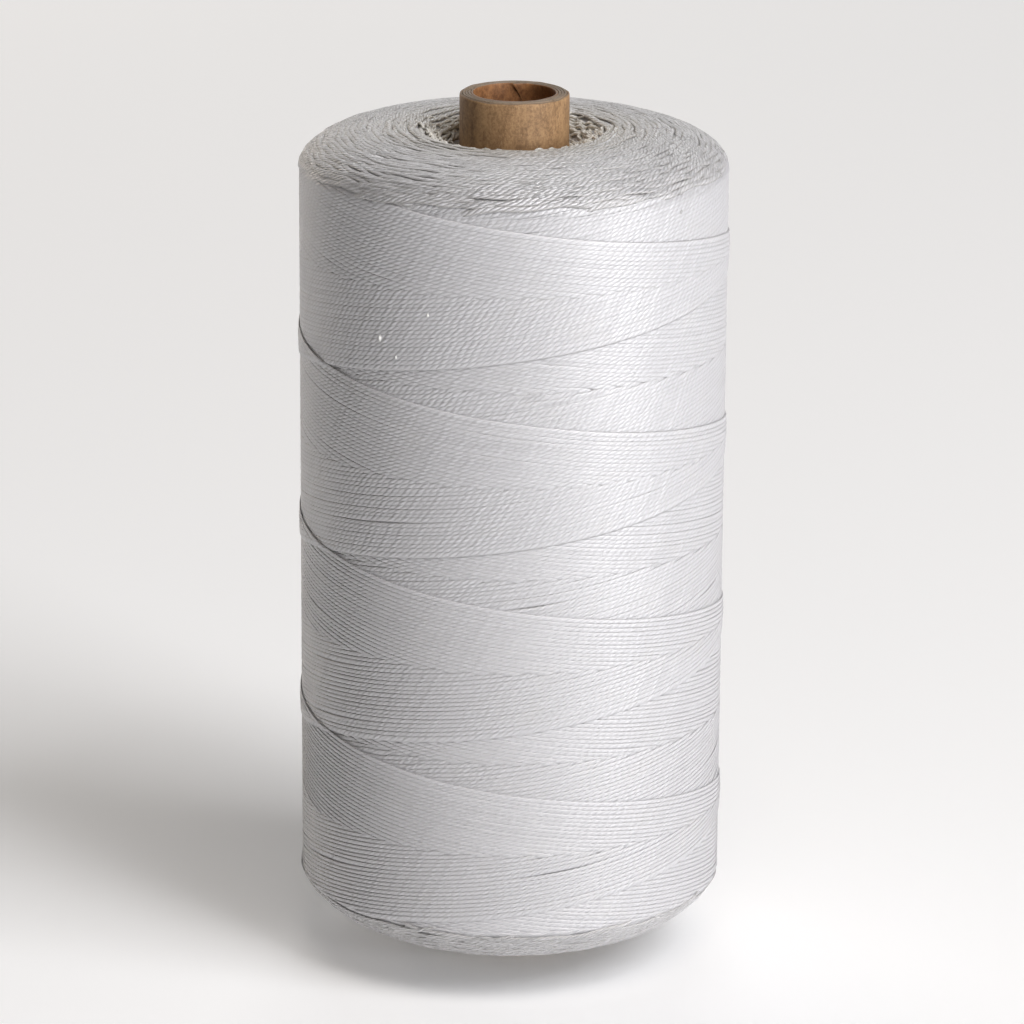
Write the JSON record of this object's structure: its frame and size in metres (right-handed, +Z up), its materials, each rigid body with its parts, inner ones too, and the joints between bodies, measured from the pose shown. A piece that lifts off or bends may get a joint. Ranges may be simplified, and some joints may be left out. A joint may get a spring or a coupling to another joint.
{
  "type": "thread spool",
  "caption": "Cross-wound package of waxed thread on a spiral-wound paper tube, with domed ends and the tube's bore left open for a spindle.",
  "frame": {"origin": "centre of the tube's lower end, on the surface that the spool stands on", "axes": "+Z up along the tube and the winding, -Y towards the front"},
  "size_m": [0.1008, 0.1004, 0.208],
  "materials": {
    "kraft_liner": "brown kraft paper board, uncoated, warm orange-brown",
    "kraft_body": "grey-brown paper board, cut edge",
    "kraft_face": "brown kraft paper, matt, slightly burnished",
    "thread_core": "waxed off-white thread, shaded, slight sheen",
    "waxed_thread": "waxed white three-ply thread, silky sheen"
  },
  "bodies": {
    "root": {"tube_liner_ply": "kraft_liner", "tube_body_ply_1": "kraft_body", "tube_body_ply_2": "kraft_body", "tube_body_ply_3": "kraft_body", "tube_face_ply": "kraft_face", "thread_core_layers": "thread_core", "thread_main_layers": "waxed_thread", "thread_outer_lay": "waxed_thread"}
  },
  "joints": []
}
